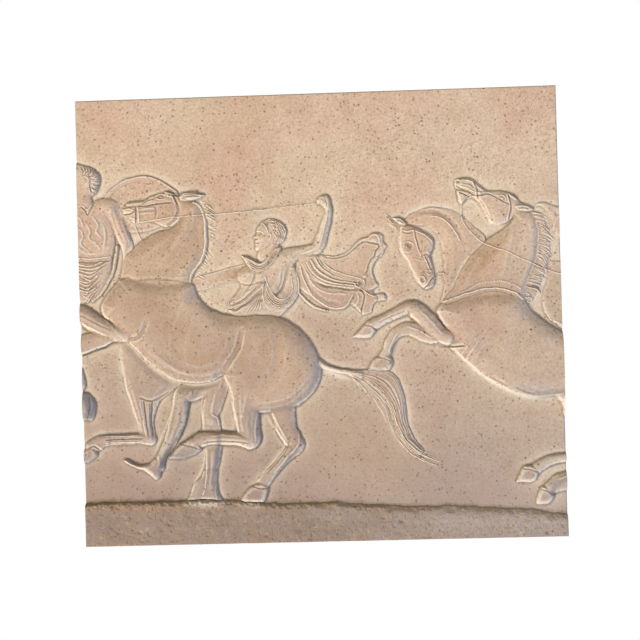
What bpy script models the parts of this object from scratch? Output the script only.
# Plaster cast of a length of a classical horse frieze: a slab with a flat back, a rough
# ground ledge along its foot and, in low relief, rearing horses with the men who hold
# them. The ends are cut square. The back lies in the plane y = 0, the relief faces -Y,
# the origin is the middle of the back.
import math

import bmesh
import bpy
import numpy as np

PANEL_LENGTH = 0.645
PANEL_HEIGHT = 0.600
SLAB_THICKNESS = 0.034      # back to the blank ground between the figures
RELIEF_DEPTH = 0.014        # ground to the boldest form, the near horse's thigh
LEDGE_PROUD = 0.0080        # ground to the face of the ledge
ARRIS = 0.0025              # easing of the slab's front edges
GRID_STEP = 0.0015          # spacing of the surface before it is reduced
FACET_BUDGET = 9350         # triangles kept on the relief side
CREASE_ANGLE = math.radians(38)

# The drawing: a sheet in its own units, v downwards, figures drawn on a slight slope.
SHEET_PANEL_HEIGHT = 447.8
SHEET_MIDDLE = (320.0, 317.0)
SHEET_SLOPE = math.radians(1.6)
SHEET_DEPTH = 14.0          # heights below are drawn against this depth
UNIT = PANEL_HEIGHT / SHEET_PANEL_HEIGHT


def curve(points, closed=False, steps=5):
    """Smooth line through the points, as an array of points."""
    pts = np.array(points, dtype=float)
    count = len(pts)
    spans = np.arange(count if closed else count - 1)
    ends = [(spans + k) % count if closed else np.clip(spans + k, 0, count - 1) for k in (-1, 0, 1, 2)]
    a, b, c, d = (pts[index][:, None, :] for index in ends)
    t = (np.arange(steps) / steps)[None, :, None]
    line = 0.5 * (2 * b + (c - a) * t + (2 * a - 5 * b + 4 * c - d) * t ** 2
                  + (3 * b - a - 3 * c + d) * t ** 3)
    line = line.reshape(-1, pts.shape[1])
    return line if closed else np.vstack([line, pts[-1:]])


def quarter(share):
    """Rise of a quarter circle, 0 at the edge to 1 at the top."""
    share = np.clip(share, 0.0, 1.0)
    return np.sqrt(1.0 - (1.0 - share) ** 2)


def rounded(share):
    """Rise of a gentler swelling, which goes on rising towards the middle."""
    share = np.clip(share, 0.0, 1.0)
    return 0.45 * quarter(share) + 0.55 * share * (2.0 - share)


def blend(first, second, width):
    """The higher of two surfaces, with a fillet where they cross."""
    gap = np.clip(width - np.abs(first - second), 0.0, None)
    return np.maximum(first, second) + gap * gap / (4.0 * width)


class Relief:
    """A surface over the sheet: its height, and how far each point lies inside its outline.
    The share makes a figure that stands further back lower than drawn."""

    def __init__(self, u, v, height=-30.0, inside=-60.0, share=1.0):
        self.u, self.v, self.share = u, v, share
        self.height = np.full(u.shape, height)
        self.inside = np.full(u.shape, inside)

    def window(self, points, margin):
        pts = np.asarray(points)
        near = ((self.u > pts[:, 0].min() - margin) & (self.u < pts[:, 0].max() + margin)
                & (self.v > pts[:, 1].min() - margin) & (self.v < pts[:, 1].max() + margin))
        rows, columns = np.where(near.any(axis=1))[0], np.where(near.any(axis=0))[0]
        if not len(rows):
            return slice(0, 0), slice(0, 0)
        return slice(rows[0], rows[-1] + 1), slice(columns[0], columns[-1] + 1)

    def add(self, place, depth, top, rise, edge, join):
        """Unite a form, given by its depth inside its own outline, with the surface."""
        form = edge * np.clip(depth / 1.3, 0, 1) + (top - edge) * rise
        form = np.where(depth > 0, form * self.share, 3.0 * depth)
        self.height[place] = blend(self.height[place], form, join)
        self.inside[place] = np.maximum(self.inside[place], depth)

    def mass(self, points, top, round=8.0, edge=None, join=1.4):
        """A closed outline that swells from its edge to its top."""
        loop = curve(points, closed=True)
        place = self.window(loop, 10)
        u, v = self.u[place], self.v[place]
        nearest = np.full(u.shape, 1e9)
        within = np.zeros(u.shape, dtype=bool)
        for (u0, v0), (u1, v1) in zip(loop, np.roll(loop, -1, axis=0)):
            du, dv = u1 - u0, v1 - v0
            t = np.clip(((u - u0) * du + (v - v0) * dv) / (du * du + dv * dv + 1e-9), 0, 1)
            nearest = np.minimum(nearest, (u - u0 - t * du) ** 2 + (v - v0 - t * dv) ** 2)
            if v0 != v1:
                within ^= ((v0 > v) != (v1 > v)) & (u < du * (v - v0) / dv + u0)
        depth = np.where(within, 1.0, -1.0) * np.sqrt(nearest)
        self.add(place, depth, top, rounded(depth / round), 0.2 * top if edge is None else edge, join)

    def limb(self, stations, top, edge=None, join=1.4):
        """A tapering limb along (u, v, half width) stations."""
        line = curve(stations, steps=4)
        place = self.window(line[:, :2], 10 + line[:, 2].max())
        u, v = self.u[place], self.v[place]
        depth = np.full(u.shape, -60.0)
        share = np.zeros(u.shape)
        for (u0, v0, r0), (u1, v1, r1) in zip(line[:-1], line[1:]):
            du, dv = u1 - u0, v1 - v0
            t = np.clip(((u - u0) * du + (v - v0) * dv) / (du * du + dv * dv + 1e-9), 0, 1)
            half = r0 + (r1 - r0) * t
            deep = half - np.hypot(u - u0 - t * du, v - v0 - t * dv)
            depth = np.maximum(depth, deep)
            share = np.maximum(share, deep / half)
        self.add(place, depth, top, quarter(share), 0.16 * top if edge is None else edge, join)

    def swell(self, u0, v0, along, across, turn, amount):
        """A soft swelling, or a dent where the amount is negative."""
        place = self.window([(u0, v0)], 2.6 * max(along, across))
        u, v = self.u[place] - u0, self.v[place] - v0
        c, s = math.cos(math.radians(turn)), math.sin(math.radians(turn))
        reach = ((u * c + v * s) / along) ** 2 + ((v * c - u * s) / across) ** 2
        self.height[place] += amount * np.exp(-reach)

    def line(self, points, width, amount, taper=0.6):
        """A ridge along a line, or a groove where the amount is negative."""
        path = curve(points)
        place = self.window(path, width + 1)
        u, v = self.u[place], self.v[place]
        best = np.zeros(u.shape)
        last = len(path) - 1
        for step, ((u0, v0), (u1, v1)) in enumerate(zip(path[:-1], path[1:])):
            du, dv = u1 - u0, v1 - v0
            t = np.clip(((u - u0) * du + (v - v0) * dv) / (du * du + dv * dv + 1e-9), 0, 1)
            end = np.abs(2 * (step + t) / last - 1) ** 3
            share = np.hypot(u - u0 - t * du, v - v0 - t * dv) / width
            best = np.maximum(best, (1 - taper * end) * np.clip(1 - share * share, 0, 1) ** 1.5)
        self.height[place] += amount * best

    def sweep(self, first, last, count, width, amount, taper=0.6):
        """A family of lines that pass from one guide to the other."""
        start, stop = (np.array(guide, dtype=float) for guide in (first, last))
        for share in np.linspace(0, 1, count):
            self.line(start + (stop - start) * share, width, amount, taper)

    def lay(self, figure, slope=0.9):
        """Set a figure on the ground, which dips to meet its outline."""
        foot = np.clip(slope * np.clip(-figure.inside, 0, None) - 0.4, 0, None)
        self.height = np.where(figure.inside > 0, np.maximum(figure.height, 0.6),
                               np.minimum(self.height, foot))


def head(r, u0, v0, size, tilt, top):
    """A calm man's head in profile, facing left, on plain proportions: (u0, v0) is the
    middle of the skull and size the height from chin to crown."""
    c, s = math.cos(tilt), math.sin(tilt)

    def at(forward, up):
        return (u0 - size * (forward * c - up * s), v0 - size * (forward * s + up * c))

    r.mass([at(0.10, 0.47), at(0.27, 0.38), at(0.365, 0.24), at(0.40, 0.10), at(0.385, 0.045),
            at(0.43, -0.03), at(0.475, -0.10), at(0.40, -0.145), at(0.415, -0.20), at(0.39, -0.235),
            at(0.40, -0.28), at(0.375, -0.335), at(0.39, -0.40), at(0.33, -0.47), at(0.18, -0.43),
            at(0.02, -0.34), at(-0.16, -0.28), at(-0.36, -0.14), at(-0.44, 0.06), at(-0.38, 0.28),
            at(-0.2, 0.43)], top, 0.3 * size)
    r.swell(*at(0.25, -0.13), 0.10 * size, 0.09 * size, 0, 0.16 * top)
    r.swell(*at(0.30, 0.005), 0.065 * size, 0.045 * size, 0, -0.30 * top)
    r.line([at(0.40, 0.06), at(0.31, 0.08), at(0.20, 0.05)], 0.05 * size, 0.20 * top)
    r.line([at(0.37, 0.0), at(0.31, 0.025), at(0.25, 0.0)], 0.035 * size, 0.20 * top)
    r.line([at(0.40, -0.255), at(0.34, -0.26), at(0.29, -0.25)], 0.035 * size, -0.20 * top)
    r.line([at(0.05, 0.02), at(0.0, 0.03), at(-0.03, -0.03), at(0.02, -0.12)], 0.045 * size, 0.24 * top)
    for row in range(4):                                    # long locks that follow the skull
        reach = (0.43 - 0.10 * row) * size
        lock = []
        for k in range(8):
            angle = math.radians(70 + 14 * row + (170 - 26 * row) * k / 7)
            near = reach + 0.02 * size * math.sin(1.9 * k + 2.0 * row)
            lock.append((u0 - 0.05 * size - near * math.cos(angle),
                         v0 - 0.05 * size - near * math.sin(angle)))
        r.line(lock, 0.055 * size, 0.26 * top, 0.3)


def rider(sheet):
    r = Relief(*sheet, share=0.85)
    r.mass([(96, 205), (103, 197), (112, 186.5), (125, 178.5), (142, 174.8), (155, 177.5), (167, 184),
            (177, 192), (180, 204), (168, 222), (140, 232), (110, 228), (99, 216)], 1.4, 2, 0.9)
    r.line([(103, 198), (112, 187.5), (125, 179.5), (142, 175.8), (155, 178.5), (167, 185), (176, 192)],
            1.2, 0.9, 0)
    # head, its hair as a cap of short locks
    r.mass([(70, 166), (84, 165.4), (91, 167.4), (96.4, 171.6), (99.4, 177), (98.8, 184.6), (95.4, 192),
            (90, 197), (92, 206), (84, 212), (70, 212)], 6.0, 9, 2.4)
    r.line([(88, 173.6), (90.4, 178), (89, 184), (90, 191.6)], 1.4, -1.3, 0.2)
    r.line([(84, 176), (87.4, 177.6), (87.2, 181.4), (84.5, 184)], 1.4, 1.2)
    # trunk and shoulder
    r.mass([(70, 204), (82, 206), (90, 202), (97, 198.6), (103, 198), (110, 198.4), (112, 206), (108, 214),
            (112, 225), (114.6, 236), (113.4, 250), (110.4, 259), (100, 262), (70, 262)], 5.6, 11, 2.0, 2.4)
    # belt and skirt
    r.mass([(70, 258), (90, 259.6), (109.6, 257.6), (111.4, 264), (110.8, 270), (109, 281), (102, 291.6),
            (94, 298.4), (84, 303), (70, 305)], 5.8, 8, 2.0, 2.0)
    r.line([(72, 257.4), (91, 258.4), (109, 256.6)], 1.4, 1.4, 0.1)
    # strap that hangs beside the skirt, and the arm in front
    r.limb([(115.8, 246, 1.5), (115, 256, 1.9), (112.6, 268, 2.0), (109, 278.5, 1.9), (100, 292.6, 1.7),
            (92, 301, 1.4)], 4.4)
    r.limb([(103, 206, 9), (110, 208.6, 9.8), (115.4, 219, 8.0), (120, 231, 7.6), (125.4, 244, 6.4),
            (127.6, 256, 5.2), (126, 266, 4.6)], 7.5)
    r.swell(110, 210, 6, 7, 20, 0.8)
    r.line([(111, 213), (117, 229), (123.4, 243)], 2.0, -0.8)
    return r


def rear_leg(sheet):
    r = Relief(*sheet)
    r.mass([(121, 344), (119, 356), (121.5, 372), (125, 390), (131, 407.5), (136, 422), (139.5, 434),
            (142, 444), (150, 446.5), (156, 441.5), (153.5, 430), (154.5, 414.7), (160, 401.4), (171, 392),
            (181, 383), (185, 372), (170, 352), (148, 340), (130, 338)], 5.0, 10)
    r.line([(140.6, 398), (148, 400.6), (156, 399.6), (168, 392.6)], 1.4, -1.5, 0.2)
    r.line([(148.4, 402), (148.6, 418), (150.6, 436)], 1.4, 0.8)
    r.line([(139.6, 400), (143, 420), (145.8, 438)], 1.4, 0.8)
    r.swell(150, 372, 12, 18, 20, 0.9)
    r.limb([(150, 440, 6.4), (135, 439.4, 5.6), (118, 440.5, 5.6), (104, 441.5, 6.2), (98, 443.5, 7.0),
            (90, 448, 6.5)], 5.0)
    r.mass([(89, 448), (80, 452), (70, 458), (72, 464), (84, 464.4), (92, 461.6), (97, 456), (94, 449.5)],
            5.8, 4)
    r.line([(100, 448), (102, 451.6), (105, 448)], 1.4, 1.2, 0.2)
    r.line([(98, 450), (93, 446.6), (88.6, 448.6)], 1.4, -1.6, 0.2)
    return r


def groom_legs(sheet):
    r = Relief(*sheet)
    r.limb([(216, 388, 12), (213.5, 402, 10.3), (210, 415, 8.6), (211, 424, 9.4), (212.5, 436, 9.4),
            (213.5, 447, 8.6), (212, 462, 7.8), (211, 474, 6.4), (211.5, 484, 6.4)], 4.5)
    r.mass([(204, 470), (200.4, 477), (193, 485), (189.6, 494), (188.4, 503), (221.4, 503), (219.4, 494),
            (217, 482), (217, 470)], 4.6, 7, 1.4, 4.0)
    r.line([(216.6, 484), (215.6, 492), (217, 500)], 1.4, 0.8)
    r.swell(211, 422, 5, 4, 0, 0.9)
    r.line([(207, 448), (207, 466), (206, 485), (203.6, 494)], 1.4, 1.4, 0.3)
    r.line([(210, 449), (210, 466), (209, 484)], 1.4, -0.8, 0.3)
    r.line([(213, 415), (217.6, 418.6), (219.4, 424)], 1.4, 1.1, 0.2)
    r.line([(216, 392), (213, 404), (212, 414)], 2.2, 0.9)
    r.limb([(228, 370, 12), (210, 383, 11.5), (194, 390.5, 10.5), (182, 396, 9.4), (180, 409, 8.8),
            (175, 428, 8.7), (169, 443.5, 6.7), (161.5, 456, 5.3), (158.5, 468, 6)], 7.0)
    r.mass([(122.5, 461), (126, 459.5), (133, 463.5), (140, 465), (148, 463.5), (155, 458), (165, 459),
            (162, 469), (159.5, 478), (155, 480.5), (148, 475), (140, 470.5), (132, 467.5), (125, 464)],
            6.5, 5)
    r.swell(182, 398, 6, 5, 0, 0.9)
    r.line([(174, 404), (170, 422), (166, 440)], 1.6, 0.9)
    r.swell(158, 472, 2.4, 2.4, 0, 0.8)
    return r


def groom(sheet):
    r = Relief(*sheet, share=0.72)
    # cloak flying out behind: far sheet with its hem and knot, tassel, sail, rolled folds
    r.mass([(319, 255), (327, 255.5), (335, 255.8), (344, 253.6), (351.5, 248), (358.5, 240.5),
            (363, 237.5), (368, 236.2), (371, 233.4), (375, 232), (379.5, 233), (383.5, 236), (383.5, 242),
            (387, 246), (384.5, 251.5), (382, 256.5), (379, 258), (375, 264), (373, 272), (376, 280.5),
            (378.8, 284.5), (376, 288), (371.5, 290.6), (366, 292), (350, 286), (335, 280), (325, 268)],
            3.0, 4, 1.8)
    r.line([(325, 257), (337, 257.8), (347, 254.5), (355, 248), (362, 242.5), (367, 241.5)], 1.4, -1.5, 0.2)
    r.line([(328, 256), (340, 255), (349, 250.5), (357, 243), (366, 238)], 1.8, 0.9, 0.2)
    r.line([(368, 242), (372, 243), (377.5, 244.2)], 1.4, -2.0, 0.2)
    r.line([(368.5, 238), (371.5, 235), (376, 234.5), (379, 238), (379.8, 242)], 1.4, 1.3, 0.2)
    r.swell(374, 239.5, 2.6, 2.2, 0, 0.9)
    r.mass([(358, 289), (364, 291), (371.4, 290.5), (374.5, 294.3), (378.6, 293.6), (383.6, 292.6),
            (386.8, 296.4), (385.2, 300.4), (380, 301), (376.4, 302.4), (374.3, 304.5), (373.2, 308),
            (372.4, 312.2), (368.6, 314.6), (362, 314.6), (352, 305), (349, 306), (352, 300), (354, 292)],
            2.6, 3, 1.4)
    r.line([(357, 292), (359, 299), (356, 305)], 1.6, 1.1)
    r.mass([(296, 262), (305, 262), (312, 277), (322, 285), (335, 287.5), (348, 289.5), (356.5, 290),
            (354, 299), (350, 305), (343.5, 309.2), (333, 309.8), (322, 305), (311, 297), (303, 291),
            (298, 285)], 3.8, 5, 1.8)
    r.line([(300, 266), (304, 279), (311, 293), (321, 302.5), (331, 307.5), (341, 307.8), (348, 303.5),
            (353, 294)], 1.4, 1.5, 0.2)
    r.line([(303, 268), (308, 282), (317, 294), (328, 302), (338, 303.5)], 2.4, -1.2, 0.3)
    r.line([(306, 272), (314, 285), (327, 292.5), (346, 294)], 1.6, 0.9, 0.3)
    r.limb([(297, 290, 1.3), (307.5, 301.5, 1.5), (319, 308.4, 1.3), (328, 310.6, 0.8)], 2.6)
    r.mass([(298, 256), (318, 255), (322.5, 263), (330, 266.5), (337, 271.5), (346, 274.5), (356, 277),
            (362.5, 277.2), (366, 280), (365, 286), (359.5, 288.5), (351, 289.5), (340, 288), (326, 285.5),
            (314, 280), (304, 270)], 4.6, 4)
    r.sweep([(320, 257), (325, 264.5), (336, 271.5), (348, 275.2), (361, 278.4)], [(302, 264), (307, 273),
            (318, 282), (336, 286.6), (354, 288.6)], 3, 2.0, 1.5, 0.15)
    r.swell(360.3, 282.5, 2.0, 1.8, 0, -2.6)
    r.swell(364.6, 276.2, 1.9, 1.7, 0, 1.6)
    # arm behind the horse's neck, then the trunk
    r.limb([(250, 273, 10), (238, 273.5, 8.2), (222, 277, 7), (208, 281, 6.8), (192, 285, 6.6),
            (176, 289, 6.6)], 2.0, 0.25)
    r.mass([(238, 271), (246, 265), (256, 262), (270, 258), (284, 250), (291, 262), (287, 276), (281, 290),
            (272, 297), (262, 292), (254, 298), (245, 305), (235, 309.5), (228, 308), (228, 303),
            (232, 298.5), (237, 292), (240.5, 285), (237, 278)], 6.0, 9)
    r.swell(248, 275, 5.5, 5, -20, 1.2)
    r.swell(261, 276, 4.5, 5, 0, 1.1)
    r.line([(255.5, 270), (254.5, 278), (250, 286), (243, 295)], 1.6, -1.2)
    r.line([(240, 283), (248, 285), (256, 283), (264, 281)], 1.4, -1.1)
    r.line([(281, 262), (276, 276), (268, 288)], 3.0, -0.9)
    r.line([(284, 264), (282, 278), (278, 290)], 1.4, -1.0)
    # cloak hanging from the shoulder in a bag
    r.mass([(266, 280), (262, 290), (254, 298), (245, 305), (236, 310), (228, 309.5), (232, 315),
            (245, 319), (262, 319), (277, 318), (288, 310), (296, 300), (300.5, 287), (299.5, 276),
            (295, 266), (291, 260), (287, 272), (284, 284), (278, 294), (272, 291), (268, 283)], 6.6, 5)
    r.sweep([(265.5, 277), (271, 291), (279, 299), (287, 297.5), (293, 288), (290.5, 268)], [(262, 284),
            (265, 303), (276, 311.5), (290, 305.5), (299, 292), (297, 268)], 4, 1.4, 1.5, 0.2)
    r.sweep([(265, 282), (252, 298), (234, 309), (228, 309.5)], [(264, 284), (262, 298), (260, 312),
            (259, 319)], 5, 1.4, 1.5, 0.2)
    r.limb([(270, 245, 9), (267, 256, 10)], 6.0)
    head(r, 270.5, 235.5, 36.0, 0.10, 7.2)
    # cloak round the neck
    r.mass([(241.5, 255.6), (247, 256.5), (253, 259.5), (259, 262.5), (265, 260), (271, 254), (277, 246.5),
            (281.5, 248), (279, 257), (273, 265), (266, 270.5), (259, 272), (252, 270), (246.5, 264),
            (243, 258.5)], 7.6, 3, 2.0)
    r.sweep([(244, 256.6), (251, 259.8), (259, 264), (266, 260.5), (276, 249)], [(247, 263.5),
            (252, 268.6), (259, 270.6), (267, 268), (280.5, 252)], 3, 1.4, 1.7, 0.1)
    # raised arm with its closed hand
    r.limb([(279, 264, 13), (290, 256.5, 9), (300, 252.5, 6.6), (310, 250, 6), (317, 247.5, 6.6),
            (321.5, 238, 6.4), (324.5, 228, 5.6), (328, 216, 4.4), (328.6, 210, 4.0), (326.5, 203.5, 4.4)],
            7.4)
    r.mass([(316.5, 200), (319, 197.5), (322, 195), (326, 194.4), (329.5, 198), (331, 204), (330.5, 210),
            (325, 209.5), (321, 205), (317.5, 203.5)], 7.4, 4, 2.0)
    r.swell(287, 259, 7, 6, 0, 0.8)
    r.line([(319, 247), (323.5, 232), (327, 216), (327.5, 208)], 1.6, 1.1)
    r.line([(300, 256), (310, 253.5), (318, 251)], 1.4, -0.8)
    return r


def lead_horse(sheet):
    r = Relief(*sheet)
    # far legs
    r.limb([(281, 402, 15), (284, 418, 11.5), (287, 430, 10.5), (294, 441, 9), (297, 446, 8),
            (289, 454, 6.6), (279, 465, 5.6), (270, 475, 6), (264, 482, 7)], 5.5)
    r.mass([(252, 485.5), (246, 491), (240.5, 500.5), (245, 503.5), (263, 503), (268, 495), (268, 487),
            (262, 482)], 6.5, 4)
    r.line([(298, 425), (299, 442), (287, 458), (275, 472)], 1.5, 0.9)
    r.line([(290, 440), (287, 450), (278, 461), (268, 473)], 1.4, -0.8)
    r.line([(251, 485), (260, 488), (268, 488)], 1.4, -1.1)
    r.line([(272, 412), (279, 426), (286, 438)], 2.0, 0.9)
    r.limb([(122, 333, 8), (104, 338, 9), (88, 343, 10), (70, 348, 10)], 5.0)
    r.limb([(74, 372, 8), (77, 385, 8)], 6.0)
    r.mass([(70, 394), (82, 392.5), (89, 395), (94, 403), (95, 412), (92, 420), (86, 421.5), (72, 418)],
            7.0, 7)
    r.line([(88, 396), (90, 408), (86, 420)], 1.4, -1.0)
    # tail
    r.limb([(314, 360, 5), (326, 366.2, 3.6), (338, 370.2, 3.0), (350, 372.6, 3.6), (360, 375, 4.6)], 4.4)
    r.mass([(346, 370.5), (362, 369.3), (376, 369.4), (386, 370.4), (393, 373.6), (398.4, 379.6),
            (402.2, 388), (404.8, 398), (406.6, 410), (407.3, 421), (410, 430.5), (415.4, 440),
            (421.6, 447.6), (428.6, 450.8), (434, 454.6), (430, 459), (422, 456), (414, 450), (406, 441),
            (399.6, 431), (396, 421), (392, 410), (385, 399), (376, 390), (366, 382), (356, 376)],
            2.6, 9, 0.4, 1.4)
    r.sweep([(346, 371), (376, 371), (396, 380), (403, 396), (406, 418), (414, 439), (431, 454)],
            [(350, 374), (366, 384), (379, 398), (391, 416), (397, 434), (408, 447), (426, 460)],
            6, 1.7, 1.3, 0.3)
    r.line([(384, 371.6), (396, 380), (402.6, 395), (405.2, 414), (410, 432), (423, 448.6)], 1.4, 1.0, 0.2)
    # head
    r.mass([(120.5, 209), (122, 205), (125.5, 201.6), (133, 200), (141, 199.4), (146, 197.6), (150, 194.6),
            (158, 193), (165, 191.6), (172, 193.6), (182, 196), (192, 202), (192, 214), (183, 219),
            (178.5, 223), (173, 226), (166, 227.4), (160.5, 226.4), (155, 223.6), (148, 222), (140, 223.6),
            (134, 224.4), (129.5, 221.4), (127, 217), (122, 214.6)], 6.0, 7, 1.4)
    r.mass([(178, 196), (186, 191.6), (195, 192), (205, 194.6), (199, 198.6), (190, 201), (181, 201)],
            6.2, 3)
    r.line([(186, 196.5), (193, 195.4), (200, 195.4)], 1.7, -1.9)
    r.line([(124, 204.6), (134, 203), (144, 202), (152, 200.4)], 1.7, 1.1, 0.2)
    r.line([(142, 203.6), (148, 200), (154, 198.4)], 1.7, -1.6)
    r.swell(160.6, 196.4, 3.2, 2.2, 0, -2.6)
    r.swell(124.8, 204.8, 1.9, 1.5, 20, -2.4)
    r.line([(121.4, 214.2), (126, 214.4), (130, 213.6), (133.6, 211.4)], 1.5, -2.6, 0.2)
    r.line([(121, 207.4), (137, 205.8), (148, 205.4), (159, 203.8), (171, 202.2)], 1.5, -1.7, 0.1)
    r.line([(138.4, 206.6), (139, 214), (138.4, 222)], 1.6, 1.7, 0.1)
    r.line([(171.2, 195.6), (173.4, 199.6), (175.6, 204)], 1.6, 1.9, 0.1)
    r.line([(126, 219), (131, 217.5), (135, 219)], 1.7, 1.35)
    r.line([(135.4, 207), (135.8, 214), (135.2, 222)], 1.7, -2.6, 0.1)
    r.line([(140, 209.4), (147, 208.4), (154, 208)], 1.7, 1.5)
    r.line([(140, 213.8), (147, 212.6), (154, 212.4)], 1.7, 1.35)
    r.line([(155, 206), (155.6, 212), (154.6, 218)], 1.7, -1.22)
    r.swell(166, 212, 9.5, 9, 0, 0.9)
    r.line([(177, 204), (178.4, 211), (175, 219), (168, 225)], 2.4, -2.2, 0.3)
    # neck, with the stubble of the cropped mane behind it
    r.mass([(184, 204), (187, 201), (192, 200.6), (198, 203), (202.6, 210), (205, 217.6), (207, 225),
            (207.6, 236), (206.4, 251), (202, 262.4), (195.4, 271.6), (192, 280), (196, 292), (198, 316),
            (162, 332), (126, 324), (112, 306), (113, 290), (119, 277), (121.5, 266), (124, 256),
            (133, 246.6), (143, 239), (156, 232), (170, 228), (178, 222.6), (182.6, 214)], 9.0, 17, 1.6)
    r.line([(187, 207), (186, 220), (176, 242), (158, 268)], 5.0, 0.9)
    r.line([(193, 214), (193, 234), (184, 258), (168, 276)], 7.0, -1.1)
    r.line([(193, 201.6), (199.4, 206), (203.4, 215), (205.4, 226), (206, 237), (204.6, 251), (200.4, 262),
            (193.6, 272), (191, 281)], 1.4, 1.9, 0.1)
    r.line([(197, 208), (201.4, 218), (202.8, 230), (202.6, 244), (198.6, 258), (191, 270)], 1.4, -0.9, 0.2)
    # body
    r.mass([(119, 278), (126, 276.5), (133, 277), (147, 279.5), (160, 281), (175, 281), (187, 281),
            (194, 285), (197, 294), (203, 303), (212, 309), (224, 313.5), (240, 315.5), (252, 314.5),
            (263, 314), (275, 315.5), (286, 320), (298, 328), (307, 337), (314.5, 348), (319.5, 360),
            (321.5, 372), (319, 384), (312, 395), (301, 404), (288, 410), (272, 413), (255, 413.5),
            (244, 408), (236, 396), (230, 384), (223, 377), (212.6, 382.5), (197, 384.6), (180, 383),
            (167, 378), (151, 367), (141, 357.5), (129, 345), (121, 338), (115.5, 331), (111, 323),
            (103.5, 318), (100, 311), (100.5, 303), (108, 291), (115, 283)], 12.0, 19, 3.0)
    r.swell(116, 302, 12, 10, 60, 0.9)
    r.swell(142, 304, 18, 14, 70, 1.7)
    r.swell(176, 316, 14, 20, 10, -1.3)
    r.swell(196, 346, 24, 16, 20, 1.4)
    r.swell(228, 322, 13, 9, 10, -1.2)
    r.line([(160, 352), (178, 365), (200, 372), (218, 366)], 5.0, -0.8)
    r.line([(147, 321), (143, 332), (136, 338), (128, 339)], 2.6, -2.2)
    r.line([(118, 279.6), (127, 277), (133, 280), (156, 278.8), (174, 280.2), (188, 282)], 1.8, -0.8, 0.3)
    r.line([(196, 292), (186, 316), (178, 345), (180, 366)], 8.0, -1.0)
    # near foreleg
    r.limb([(126, 334, 9), (112, 333, 9.2), (96, 325, 9.3), (84, 317, 9.5), (66, 306, 9.5)], 9.0)
    r.line([(70, 318), (92, 329), (106, 336)], 1.8, 0.9)
    # near hind leg
    r.line([(242, 330), (238, 348), (226, 368)], 4.0, -2.4)
    r.mass([(244, 328), (240, 335), (240.5, 342), (238, 350), (233, 360), (226, 369), (222.5, 375),
            (226, 384), (230, 394), (233, 408), (236, 422), (250, 426), (254, 412), (262, 406),
            (275, 402.5), (288, 398), (301, 389), (309, 377), (312, 364), (309, 350), (300, 337),
            (285, 326), (268, 321), (254, 322)], 12.6, 20, 5.0, 3.0)
    r.swell(258, 342, 11, 17, 20, 1.8)
    r.swell(292, 352, 12, 16, -30, 1.2)
    r.line([(276, 330), (280, 350), (276, 372), (262, 392)], 7.0, -1.1)
    r.swell(246, 396, 9, 13, 10, 0.9)
    r.limb([(246, 404, 15), (247.5, 418, 12.6), (248.5, 430, 12), (251, 439, 10.5), (247, 440.5, 8.5),
            (236, 439, 7.3), (222, 438.5, 6.9), (210, 438.5, 7.6), (203, 439.5, 8.3), (194, 443, 7)],
            9.4, 4.5)
    r.mass([(190, 438), (183, 442), (178, 445), (168.5, 457.5), (171, 459.5), (186, 459), (196, 455),
            (202, 450), (199, 441)], 8.4, 4, 4.0)
    r.line([(258, 412), (256, 428), (256, 440)], 1.6, 0.9)
    r.line([(205, 443), (225, 441), (250, 443)], 1.4, -1.1)
    r.line([(180, 444), (190, 446), (201, 449)], 1.4, -1.2)
    r.line([(264, 404), (284, 401), (304, 387)], 2.4, -1.5)
    r.swell(200, 448, 2.2, 1.8, 0, 0.8)
    return r


def far_horse(sheet):
    r = Relief(*sheet, share=0.75)
    r.mass([(404, 222), (408.5, 216), (414.4, 211.6), (422.7, 208), (432, 206.4), (444.6, 208),
            (457, 212.6), (466, 219), (475, 228), (485, 240), (474, 262), (462, 282), (452, 300),
            (441, 303), (443.6, 290), (444, 279), (443.4, 268), (442.4, 254), (440.4, 243), (436, 234),
            (427, 226.6), (417, 226)], 5.0, 14, 2.6)
    r.line([(420, 213), (434, 212), (446, 217), (457, 229), (463, 244)], 3.0, -1.3)
    r.line([(416, 213.4), (424, 209.8), (433, 208.4), (445, 210.4), (457, 216)], 1.4, 1.2, 0.2)
    r.line([(430, 216), (442, 219), (452, 228), (459, 240)], 1.4, 1.1, 0.3)
    r.mass([(399.5, 227), (398.8, 234.4), (399, 245.8), (400.6, 252), (406, 259.4), (410.2, 267.6),
            (414.4, 277), (419.4, 285.2), (424.8, 289.2), (430, 288.6), (434.4, 285), (435, 278),
            (434, 272.8), (431, 262.4), (430.4, 256), (433.2, 249), (433.4, 241.6), (430.6, 237),
            (424.6, 232), (416.4, 227.6), (408, 224.4), (402, 223.6)], 7.0, 7, 3.0)
    r.mass([(392.4, 218.6), (397, 218), (402, 219.6), (407, 223.8), (404, 226), (398, 224)], 7.6, 2)
    r.line([(385, 215), (391.5, 220), (398, 225)], 1.6, 1.2, 0.3)
    r.line([(389, 226), (394, 227.5), (399, 230)], 1.6, 1.2, 0.3)
    r.swell(408.6, 246, 3.8, 3.0, 0, -3.2)
    r.line([(413.2, 230), (415, 240), (418, 249), (420.6, 256.4)], 1.6, 1.7, 0.1)
    r.line([(413.4, 230.6), (422, 234), (428, 238), (432.4, 243)], 1.6, 1.7, 0.1)
    r.line([(402.6, 230), (407, 231.6), (413, 230.6)], 1.6, 1.7, 0.1)
    r.line([(424.6, 256.4), (428.6, 264), (432, 272)], 1.6, 1.7, 0.1)
    r.line([(424, 288.2), (428.6, 284.4), (431.6, 279.6), (434.6, 276)], 1.5, -2.6, 0.2)
    r.swell(421.8, 280, 2.4, 1.8, 70, -3.2)
    r.swell(428.6, 254, 2.4, 2.4, 0, 1.3)
    r.swell(426, 242, 6, 6.5, 0, 1.1)
    r.line([(402, 252), (409, 264), (416, 278)], 1.7, 1.1)
    return r


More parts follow.
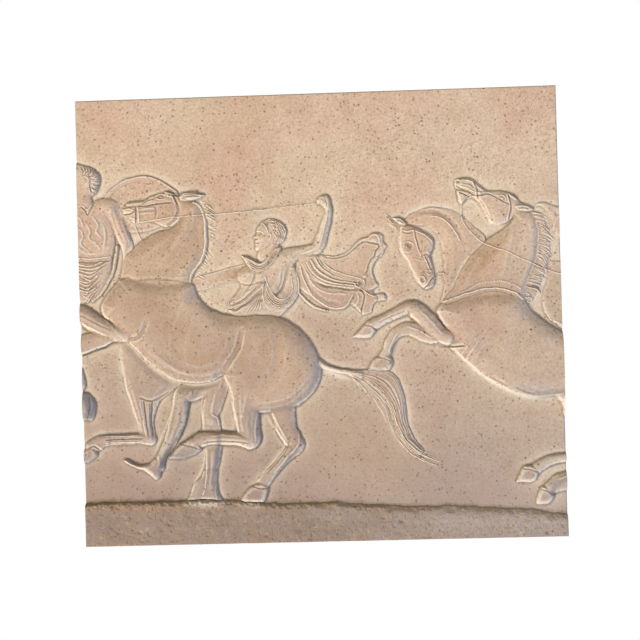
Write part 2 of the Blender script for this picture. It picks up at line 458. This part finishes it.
def near_horse(sheet):
    r = Relief(*sheet)
    # next figure, met by the cut end
    r.mass([(535, 205), (539, 203), (546, 203.4), (553, 206), (560, 206.8), (600, 207), (600, 236),
            (560, 238), (551.6, 231), (550, 224), (547, 214), (541, 208)], 2.0, 3, 0.9)
    r.swell(554.6, 214.3, 2.2, 1.8, 0, -1.2)
    r.line([(563, 212), (555, 220), (551.6, 230)], 1.4, 0.9)
    r.mass([(548, 262), (556, 261), (600, 262), (600, 332), (570, 331), (552, 322), (543, 310), (541, 296),
            (545, 280)], 1.6, 4, 0.2)
    # hind feet at the cut end
    r.limb([(600, 454, 6), (570, 456, 5), (555, 457.5, 5), (545, 461, 5.5), (536, 467, 6)], 5.5)
    r.mass([(521, 467), (515.5, 480), (519, 481.5), (532, 481), (537.5, 473), (535, 466), (528, 463)],
            6.0, 4)
    r.line([(521, 467), (528, 468), (537, 471)], 1.4, -1.1)
    r.limb([(600, 470, 12), (574, 478, 10), (560, 481, 9.5), (549, 487, 7)], 6.5)
    r.mass([(538.5, 487), (535, 501), (540, 504), (549, 501.5), (553, 495), (549, 488), (543, 484)], 7.0, 4)
    r.line([(539, 487), (545, 489), (552, 494)], 1.4, -1.1)
    r.line([(556, 478), (566, 474), (580, 470)], 1.6, 0.9)
    # far foreleg
    r.limb([(438, 345, 7), (428, 338, 7.6), (417, 331, 7.8), (407, 328.8, 7), (397, 332.6, 6.2),
            (390, 341, 5.4), (387, 350, 5), (384, 357, 6)], 5.0)
    r.mass([(376, 357), (368.5, 368), (371, 371), (389, 370.5), (393, 362), (388, 355)], 5.5, 4)
    r.line([(376, 357), (383, 358), (392, 361)], 1.4, -1.1)
    r.line([(432, 338), (420, 330.6), (408, 327)], 1.4, 0.9)
    r.line([(398, 332), (392, 342), (389, 352)], 1.4, 0.9)
    # head and lower lip
    r.mass([(457.4, 190), (456.6, 196), (457.6, 201), (460, 204.6), (464, 203), (467.6, 199.4),
            (473, 197.4), (470, 192)], 4.2, 3)
    r.mass([(453.6, 183), (455, 180), (459, 178.4), (465, 177.6), (470.6, 178.8), (477.6, 184),
            (483.4, 189), (489, 191.6), (496, 191.2), (503.6, 191.6), (511, 196), (518, 201.6), (524, 206),
            (522, 213), (514, 216.6), (510, 220.4), (503.4, 224.2), (496, 225.6), (490, 224),
            (485.8, 218.6), (482, 210.6), (477.4, 203.6), (472, 198.6), (466, 194.4), (459.4, 191),
            (455, 187.4)], 5.6, 7, 1.3)
    r.mass([(512, 206.4), (517, 204.6), (525, 205.4), (532.4, 210), (527, 212.8), (519, 212.6),
            (514, 210)], 6.2, 3)
    r.line([(517, 208.6), (523, 208.2), (529, 209.8)], 1.7, -2.3)
    r.swell(501, 198.4, 3.2, 2.2, 35, -2.8)
    r.swell(457.8, 182.8, 2.0, 1.5, 20, -2.6)
    r.line([(459, 192.6), (463, 194.8), (468, 197)], 1.5, -2.6, 0.2)
    r.line([(456, 186.4), (467.4, 191.6), (480, 196), (494, 197.4), (508, 205)], 1.5, -1.6, 0.1)
    r.line([(471, 181.6), (474.4, 189), (475.6, 198)], 1.6, 1.8, 0.1)
    r.line([(505.6, 195), (508.6, 206), (506, 220)], 1.6, 1.8, 0.1)
    r.line([(461, 204), (464, 199.4), (468, 195.4), (471.6, 193.6)], 1.5, 1.9, 0.2)
    r.swell(495, 211, 8.5, 8.5, 0, 1.3)
    # mane: short locks that stand out from the crest
    r.mass([(530, 211), (538, 213.6), (544.4, 222), (548.6, 234), (549.4, 248), (547.6, 262), (543, 276),
            (538, 288), (533, 298), (526, 303), (520, 296), (524, 262), (530, 235), (526, 216)],
            2.4, 14, 0.1, 0.2)
    for k in range(13):
        v0 = 217 + 6.2 * k
        u0 = 538.6 - 0.0058 * (v0 - 240) ** 2
        r.line([(u0 - 5, v0 + 1), (u0 + 4, v0 - 2), (u0 + 13, v0 - 1)], 1.8, 1.4, 0.3)
    # neck
    r.mass([(513, 213), (518, 211.6), (525, 211.4), (531, 214), (536.4, 221.6), (538.6, 232), (538.6, 245),
            (536.4, 258), (532, 271), (527, 283), (525, 298), (528, 314), (512, 332), (480, 336),
            (452, 326), (441, 310), (444, 298), (453, 285.5), (460.4, 269), (471, 255), (484.5, 241.4),
            (492, 236), (500, 230.4), (507, 225), (511.6, 219)], 8.4, 16, 1.6)
    r.line([(512, 221), (509, 240), (505, 262), (498, 284)], 4.0, 1.0)
    r.line([(521, 220), (521, 242), (517, 266), (511, 288)], 6.0, -1.3)
    r.line([(529, 222), (531, 240), (528, 260), (521, 284)], 3.6, 1.0)
    r.line([(500, 240), (488, 256), (476, 276), (466, 292)], 7.0, -0.9)
    # body
    r.mass([(441, 303), (450, 299.5), (460.5, 296), (475, 292), (489, 290.3), (505, 291), (518, 294.5),
            (525, 302), (532, 312), (542, 320), (553, 327), (568, 334), (600, 345), (600, 398), (560, 396),
            (547, 396.5), (532, 398), (515.5, 394), (497, 386), (481, 376), (464.5, 361.6), (455, 353),
            (449, 347), (451, 338), (448, 331), (442, 323), (438, 317), (435.5, 312), (437, 307)],
            11.8, 18, 3.0)
    r.line([(443, 302), (454, 297.8), (467, 293.4), (484.5, 288.6), (499.4, 288.4), (514, 292.8),
            (521.6, 299)], 1.4, 2.0, 0.1)
    r.line([(446, 304.4), (458, 300), (470, 296), (485, 291.6), (499, 291.4), (513, 296)], 1.6, -0.9, 0.1)
    r.mass([(551, 393), (556, 397.5), (560, 405), (566, 420), (600, 440), (600, 385), (568, 380)],
            10.0, 8, 4.0)
    r.swell(464, 316, 14, 11, 20, 1.6)
    r.swell(505, 318, 16, 12, 20, 1.2)
    r.swell(486, 340, 10, 12, 30, -1.3)
    r.swell(518, 360, 24, 14, 25, 1.2)
    r.line([(466, 358), (473, 348), (480, 339), (487, 332)], 3.4, -1.5)
    r.line([(440, 346.6), (450, 346.4), (462, 345.4)], 1.4, -2.0)
    r.line([(527, 312), (518, 336), (512, 366)], 8.0, -0.9)
    r.line([(490, 377), (498, 381), (506, 385.5)], 1.6, -0.9)
    r.line([(515, 387), (524, 391), (533, 393)], 1.6, -0.9)
    r.line([(532, 309), (544, 317.5), (562, 325)], 1.6, 0.8)
    # near foreleg
    r.limb([(449, 345, 9.5), (438, 333, 9.6), (427, 320.5, 9.2), (416, 310.5, 8.6), (409, 307.5, 7.3),
            (402, 310.5, 6.3), (390, 316, 6), (380, 321, 6), (371, 325.5, 6.3)], 8.6, 3.6)
    r.mass([(364, 324), (353, 335.5), (355, 337.5), (369, 338.5), (376.5, 331), (374, 325), (368, 321)],
            8.0, 4, 3.4)
    r.swell(409, 308, 5, 4, 0, 0.9)
    r.line([(404, 311), (392, 316), (380, 322)], 1.4, -0.9)
    r.line([(364, 325), (371, 326), (377, 331)], 1.4, -1.2)
    return r


def ledge(canvas, proud):
    """The ground ledge, with its worn and chipped upper edge."""
    crest = np.array([(40, 505.5), (80, 505), (125, 504), (160, 502.5), (200, 500.5), (240, 501.5),
                      (300, 503), (345, 502), (400, 504.5), (450, 505), (500, 506), (530, 508.5),
                      (560, 512), (600, 514)])
    worn = np.interp(canvas.u, crest[:, 0], crest[:, 1])
    for length, reach, phase in ((27.0, 1.0, 0.4), (11.3, 0.6, 2.1)):
        worn = worn + reach * np.sin(canvas.u / length * 2 * math.pi + phase)
    share = np.clip((canvas.v - worn) / 4.5, 0, 1)
    face = proud * quarter(share)
    for length, lift, lean in ((47.0, 0.35, 0.3), (23.0, 0.25, -0.5), (13.0, 0.2, 0.9)):
        face = face + lift * share * np.sin((canvas.u + lean * canvas.v) / length * 2 * math.pi)
    canvas.height = np.where(share > 0, np.maximum(canvas.height * (1 - share), face), canvas.height)
    for u0, v0, size in ((401, 520, 4.0), (118, 507, 5.0), (236, 505, 4.5), (332, 506, 5.0),
                         (452, 510, 5.0), (512, 511, 4.5), (300, 530, 3.5), (170, 524, 3.0),
                         (545, 530, 3.5)):
        canvas.swell(u0, v0, size, 0.7 * size, 15, -0.28 * proud)


def relief_heights(columns, rows):
    """Heights over the slab's ground, in metres, on a grid of columns by rows."""
    x = np.linspace(-PANEL_LENGTH / 2, PANEL_LENGTH / 2, columns)[None, :]
    z = np.linspace(-PANEL_HEIGHT / 2, PANEL_HEIGHT / 2, rows)[:, None]
    c, s = math.cos(SHEET_SLOPE), math.sin(SHEET_SLOPE)
    sheet = (SHEET_MIDDLE[0] + (x * c - z * s) / UNIT, SHEET_MIDDLE[1] - (x * s + z * c) / UNIT)
    canvas = Relief(*sheet, height=0.0)
    for figure in (rider, rear_leg, groom_legs, groom, far_horse, lead_horse, near_horse):
        canvas.lay(figure(sheet))
    # reins, over ground and figures
    canvas.line([(316, 203), (290, 206.3), (240, 211.6), (207, 214.2), (174, 216.8), (154, 219.6),
                 (136, 223.4)], 1.4, 1.2, 0.1)
    canvas.line([(461.2, 204), (461.2, 217), (471, 233.6), (490, 246), (530.5, 263), (560, 274.4),
                 (600, 286)], 1.4, 1.2, 0.1)
    # stubble of the lead horse's cropped mane
    canvas.sweep([(203, 205), (208, 207), (213, 206)], [(204, 262), (209, 264), (213, 262)], 7, 1.5, 1.1)
    ledge(canvas, LEDGE_PROUD / RELIEF_DEPTH * SHEET_DEPTH)
    to_side = np.minimum(PANEL_LENGTH / 2 - np.abs(x), PANEL_HEIGHT / 2 - np.abs(z))
    eased = ARRIS * (1 - quarter(to_side / ARRIS)) * 0.6
    return canvas.height * RELIEF_DEPTH / SHEET_DEPTH - eased


def relief_surface():
    """The whole face of the slab as a fine grid."""
    columns, rows = (round(size / GRID_STEP) + 1 for size in (PANEL_LENGTH, PANEL_HEIGHT))
    bm = bmesh.new()
    bmesh.ops.create_grid(bm, x_segments=columns - 1, y_segments=rows - 1, size=0.5)
    mesh = bpy.data.meshes.new("relief_surface")
    bm.to_mesh(mesh)
    bm.free()
    flat = np.empty(len(mesh.vertices) * 3)
    mesh.vertices.foreach_get("co", flat)
    flat = flat.reshape(-1, 3)
    column = np.rint((flat[:, 0] + 0.5) * (columns - 1)).astype(int)
    row = np.rint((flat[:, 1] + 0.5) * (rows - 1)).astype(int)
    height = relief_heights(columns, rows)[row, column]
    placed = np.column_stack([flat[:, 0] * PANEL_LENGTH, -(SLAB_THICKNESS + height),
                              flat[:, 1] * PANEL_HEIGHT])
    mesh.vertices.foreach_set("co", placed.ravel())
    mesh.update()
    return bpy.data.objects.new("relief_surface", mesh)


def close_slab(mesh):
    """Carry the edge of the face straight back and close it with the flat back."""
    bm = bmesh.new()
    bm.from_mesh(mesh)
    rim = [edge for edge in bm.edges if edge.is_boundary]
    for vert in {vert for edge in rim for vert in edge.verts}:
        gap_x = PANEL_LENGTH / 2 - abs(vert.co.x)
        gap_z = PANEL_HEIGHT / 2 - abs(vert.co.z)
        if gap_x < 0.0004:
            vert.co.x = math.copysign(PANEL_LENGTH / 2, vert.co.x)
        if gap_z < 0.0004:
            vert.co.z = math.copysign(PANEL_HEIGHT / 2, vert.co.z)
    wall = bmesh.ops.extrude_edge_only(bm, edges=rim)["geom"]
    back = [item for item in wall if isinstance(item, bmesh.types.BMVert)]
    for vert in back:
        vert.co.y = 0.0
    edges = [edge for edge in bm.edges if edge.is_boundary]
    face = bmesh.ops.contextual_create(bm, geom=edges)["faces"]
    centre = bmesh.ops.poke(bm, faces=face)["verts"]
    for vert in centre:
        vert.co = (0.0, 0.0, 0.0)
    bmesh.ops.triangulate(bm, faces=bm.faces[:])
    bmesh.ops.recalc_face_normals(bm, faces=bm.faces[:])
    bm.to_mesh(mesh)
    bm.free()


def plaster():
    material = bpy.data.materials.new("aged_plaster")
    material.use_nodes = True
    shader = material.node_tree.nodes["Principled BSDF"]
    shader.inputs["Base Color"].default_value = (0.62, 0.47, 0.34, 1.0)
    shader.inputs["Roughness"].default_value = 0.78
    shader.inputs["Metallic"].default_value = 0.0
    return material


def build():
    for item in list(bpy.data.objects):
        bpy.data.objects.remove(item, do_unlink=True)
    collection = bpy.data.collections.new("plaster_horse_frieze")
    bpy.context.scene.collection.children.link(collection)
    surface = relief_surface()
    collection.objects.link(surface)
    reduce = surface.modifiers.new("reduce", "DECIMATE")
    reduce.ratio = FACET_BUDGET / (2 * len(surface.data.polygons))
    reduce.use_collapse_triangulate = True
    evaluated = surface.evaluated_get(bpy.context.evaluated_depsgraph_get())
    mesh = bpy.data.meshes.new_from_object(evaluated)
    bpy.data.objects.remove(surface, do_unlink=True)
    close_slab(mesh)
    mesh.name = "relief_panel"
    mesh.materials.clear()
    mesh.materials.append(plaster())
    panel = bpy.data.objects.new("relief_panel", mesh)
    collection.objects.link(panel)
    mesh.shade_smooth()
    mesh.set_sharp_from_angle(angle=CREASE_ANGLE)
    print("relief_panel:", len(mesh.polygons), "triangles")


build()
